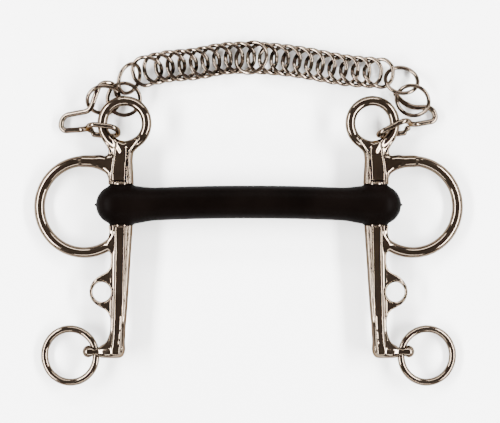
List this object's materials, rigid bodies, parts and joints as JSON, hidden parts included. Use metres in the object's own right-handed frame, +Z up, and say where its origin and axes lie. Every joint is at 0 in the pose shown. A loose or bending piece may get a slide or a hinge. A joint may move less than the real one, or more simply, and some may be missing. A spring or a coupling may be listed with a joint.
{
  "type": "curb bit",
  "caption": "Curb bit with swivelling cheeks, a rubber-covered straight mouthpiece, loose rein rings, curb hooks and a double-link curb chain with a fly link.",
  "frame": {"origin": "middle of the whole bit as it lies, on the surface it lies on", "axes": "+Z up, +X along the mouthpiece, +Y from the mouthpiece to the curb chain"},
  "size_m": [0.2352, 0.1894, 0.0214],
  "materials": {
    "core_steel": "plain turned bar",
    "rubber": "satin moulded",
    "cast_steel": "polished casting",
    "wire_steel": "polished wire",
    "chain_steel": "polished wire"
  },
  "bodies": {
    "mouthpiece": {"mouthpiece_core": "core_steel", "mouthpiece_cover": "rubber"},
    "left_cheek": {"left_cheek": "cast_steel"},
    "right_cheek": {"right_cheek": "cast_steel"},
    "left_curb_ring": {"left_curb_ring": "wire_steel"},
    "right_curb_ring": {"right_curb_ring": "wire_steel"},
    "left_curb_hook": {"left_curb_hook": "wire_steel"},
    "right_curb_hook": {"right_curb_hook": "wire_steel"},
    "chain_link_01": {"chain_link_01": "chain_steel"},
    "chain_link_02": {"chain_link_02": "chain_steel"},
    "chain_link_03": {"chain_link_03": "chain_steel"},
    "chain_link_04": {"chain_link_04": "chain_steel"},
    "chain_link_05": {"chain_link_05": "chain_steel"},
    "chain_link_06": {"chain_link_06": "chain_steel"},
    "chain_link_07": {"chain_link_07": "chain_steel"},
    "chain_link_08": {"chain_link_08": "chain_steel"},
    "chain_link_09": {"chain_link_09": "chain_steel"},
    "chain_link_10": {"chain_link_10": "chain_steel"},
    "chain_link_11": {"chain_link_11": "chain_steel"},
    "chain_link_12": {"chain_link_12": "chain_steel"},
    "chain_link_13": {"chain_link_13": "chain_steel"},
    "chain_link_14": {"chain_link_14": "chain_steel"},
    "chain_link_15": {"chain_link_15": "chain_steel"},
    "chain_link_16": {"chain_link_16": "chain_steel"},
    "chain_link_17": {"chain_link_17": "chain_steel"},
    "chain_link_18": {"chain_link_18": "chain_steel"},
    "chain_link_19": {"chain_link_19": "chain_steel"},
    "chain_link_20": {"chain_link_20": "chain_steel"},
    "chain_link_21": {"chain_link_21": "chain_steel"},
    "chain_link_22": {"chain_link_22": "chain_steel"},
    "chain_link_23": {"chain_link_23": "chain_steel"},
    "chain_link_24": {"chain_link_24": "chain_steel"},
    "chain_link_25": {"chain_link_25": "chain_steel"},
    "fly_link": {"fly_link": "chain_steel"}
  },
  "joints": [
    {"name": "left_cheek_swivel", "type": "hinge", "parent": "mouthpiece", "child": "left_cheek", "pos_m": [-0.0696, 0.0044, 0.0107], "axis": [0, -1, 0], "range_deg": [0, 75]},
    {"name": "right_cheek_swivel", "type": "hinge", "parent": "mouthpiece", "child": "right_cheek", "pos_m": [0.0696, 0.0044, 0.0107], "axis": [0, 1, 0], "range_deg": [0, 75]},
    {"name": "left_curb_ring_swing", "type": "hinge", "parent": "left_cheek", "child": "left_curb_ring", "pos_m": [-0.08359, -0.07595, 0.00827], "axis": [0, -1, 0], "range_deg": [-110, 110]},
    {"name": "right_curb_ring_swing", "type": "hinge", "parent": "right_cheek", "child": "right_curb_ring", "pos_m": [0.08359, -0.07595, 0.00827], "axis": [0, 1, 0], "range_deg": [-110, 110]},
    {"name": "left_hook_swing", "type": "hinge", "parent": "left_cheek", "child": "left_curb_hook", "pos_m": [-0.08, 0.0469, 0.0089], "axis": [0, 1, 0], "range_deg": [-4, 12]},
    {"name": "right_hook_swing", "type": "hinge", "parent": "right_cheek", "child": "right_curb_hook", "pos_m": [0.08, 0.0477, 0.0089], "axis": [0, 1, 0], "range_deg": [0, 40]},
    {"name": "chain_link_01_swing", "type": "hinge", "parent": "left_curb_hook", "child": "chain_link_01", "pos_m": [-0.0806, 0.0696, 0.006], "axis": [0, 1, 0], "range_deg": [-12, 4]},
    {"name": "chain_link_02_roll", "type": "hinge", "parent": "chain_link_01", "child": "chain_link_02", "pos_m": [-0.07385, 0.06205, 0.0064], "axis": [0.9995, 0.027, -0.018], "range_deg": [-2, 2]},
    {"name": "chain_link_03_flex", "type": "hinge", "parent": "chain_link_02", "child": "chain_link_03", "pos_m": [-0.06675, 0.0678, 0.00765], "axis": [0.9638, -0.2668, 0], "range_deg": [0, 8]},
    {"name": "chain_link_04_flex", "type": "hinge", "parent": "chain_link_03", "child": "chain_link_04", "pos_m": [-0.06035, 0.0756, 0.00737], "axis": [0.4131, -0.9107, 0], "range_deg": [0, 8]},
    {"name": "chain_link_05_flex", "type": "hinge", "parent": "chain_link_04", "child": "chain_link_05", "pos_m": [-0.05238, 0.07856, 0.00561], "axis": [0.2366, -0.9716, 0], "range_deg": [0, 8]},
    {"name": "chain_link_06_flex", "type": "hinge", "parent": "chain_link_05", "child": "chain_link_06", "pos_m": [-0.04609, 0.07991, 0.00535], "axis": [0.1821, -0.9833, 0], "range_deg": [0, 8]},
    {"name": "chain_link_07_flex", "type": "hinge", "parent": "chain_link_06", "child": "chain_link_07", "pos_m": [-0.03973, 0.08073, 0.00509], "axis": [0.0751, -0.9972, 0], "range_deg": [0, 8]},
    {"name": "chain_link_08_flex", "type": "hinge", "parent": "chain_link_07", "child": "chain_link_08", "pos_m": [-0.03333, 0.08126, 0.00484], "axis": [0.0887, -0.9961, 0], "range_deg": [0, 8]},
    {"name": "chain_link_09_flex", "type": "hinge", "parent": "chain_link_08", "child": "chain_link_09", "pos_m": [-0.02696, 0.08209, 0.00458], "axis": [0.1713, -0.9852, 0], "range_deg": [0, 8]},
    {"name": "chain_link_10_flex", "type": "hinge", "parent": "chain_link_09", "child": "chain_link_10", "pos_m": [-0.02065, 0.0833, 0.00432], "axis": [0.2043, -0.9789, 0], "range_deg": [0, 8]},
    {"name": "chain_link_11_flex", "type": "hinge", "parent": "chain_link_10", "child": "chain_link_11", "pos_m": [-0.01431, 0.08438, 0.00405], "axis": [0.1312, -0.9914, 0], "range_deg": [0, 8]},
    {"name": "chain_link_12_flex", "type": "hinge", "parent": "chain_link_11", "child": "chain_link_12", "pos_m": [-0.00792, 0.08494, 0.00379], "axis": [0.042, -0.9991, 0], "range_deg": [0, 8]},
    {"name": "chain_link_13_flex", "type": "hinge", "parent": "chain_link_12", "child": "chain_link_13", "pos_m": [0.0014, 0.08493, 0.00352], "axis": [-0.0224, -0.9997, 0], "range_deg": [0, 5]},
    {"name": "chain_link_14_flex", "type": "hinge", "parent": "chain_link_13", "child": "chain_link_14", "pos_m": [0.01071, 0.08458, 0.00339], "axis": [-0.0669, -0.9978, 0], "range_deg": [0, 8]},
    {"name": "chain_link_15_flex", "type": "hinge", "parent": "chain_link_14", "child": "chain_link_15", "pos_m": [0.01712, 0.08403, 0.00352], "axis": [-0.1058, -0.9944, 0], "range_deg": [0, 8]},
    {"name": "chain_link_16_flex", "type": "hinge", "parent": "chain_link_15", "child": "chain_link_16", "pos_m": [0.0235, 0.08326, 0.00379], "axis": [-0.1334, -0.9911, 0], "range_deg": [0, 8]},
    {"name": "chain_link_17_flex", "type": "hinge", "parent": "chain_link_16", "child": "chain_link_17", "pos_m": [0.02986, 0.08233, 0.00405], "axis": [-0.1559, -0.9878, 0], "range_deg": [0, 8]},
    {"name": "chain_link_18_flex", "type": "hinge", "parent": "chain_link_17", "child": "chain_link_18", "pos_m": [0.03619, 0.08124, 0.00432], "axis": [-0.1831, -0.9831, 0], "range_deg": [0, 8]},
    {"name": "chain_link_19_flex", "type": "hinge", "parent": "chain_link_18", "child": "chain_link_19", "pos_m": [0.0425, 0.08, 0.00458], "axis": [-0.2016, -0.9795, 0], "range_deg": [0, 8]},
    {"name": "chain_link_20_flex", "type": "hinge", "parent": "chain_link_19", "child": "chain_link_20", "pos_m": [0.04882, 0.07883, 0.00484], "axis": [-0.1648, -0.9863, 0], "range_deg": [0, 8]},
    {"name": "chain_link_21_flex", "type": "hinge", "parent": "chain_link_20", "child": "chain_link_21", "pos_m": [0.05518, 0.07792, 0.00509], "axis": [-0.1152, -0.9933, 0], "range_deg": [0, 8]},
    {"name": "chain_link_22_flex", "type": "hinge", "parent": "chain_link_21", "child": "chain_link_22", "pos_m": [0.06158, 0.07731, 0.00535], "axis": [-0.0758, -0.9971, 0], "range_deg": [0, 8]},
    {"name": "chain_link_23_flex", "type": "hinge", "parent": "chain_link_22", "child": "chain_link_23", "pos_m": [0.06799, 0.07683, 0.00561], "axis": [-0.0727, -0.9974, 0], "range_deg": [0, 8]},
    {"name": "chain_link_24_flex", "type": "hinge", "parent": "chain_link_23", "child": "chain_link_24", "pos_m": [0.0775, 0.07455, 0.00622], "axis": [-0.3094, -0.9509, 0], "range_deg": [0, 8]},
    {"name": "chain_link_25_flex", "type": "hinge", "parent": "chain_link_24", "child": "chain_link_25", "pos_m": [0.0868, 0.06695, 0.0074], "axis": [-0.8797, -0.4755, 0], "range_deg": [0, 8]},
    {"name": "fly_link_swing", "type": "hinge", "parent": "chain_link_12", "child": "fly_link", "pos_m": [0.0014, 0.08493, 0.00352], "axis": [0.9995, -0.0224, -0.0216], "range_deg": [-2.5, 2.5]}
  ],
  "couplings": [
    {"joint": "chain_link_01_swing", "follows": "left_hook_swing", "ratio": -1}
  ]
}
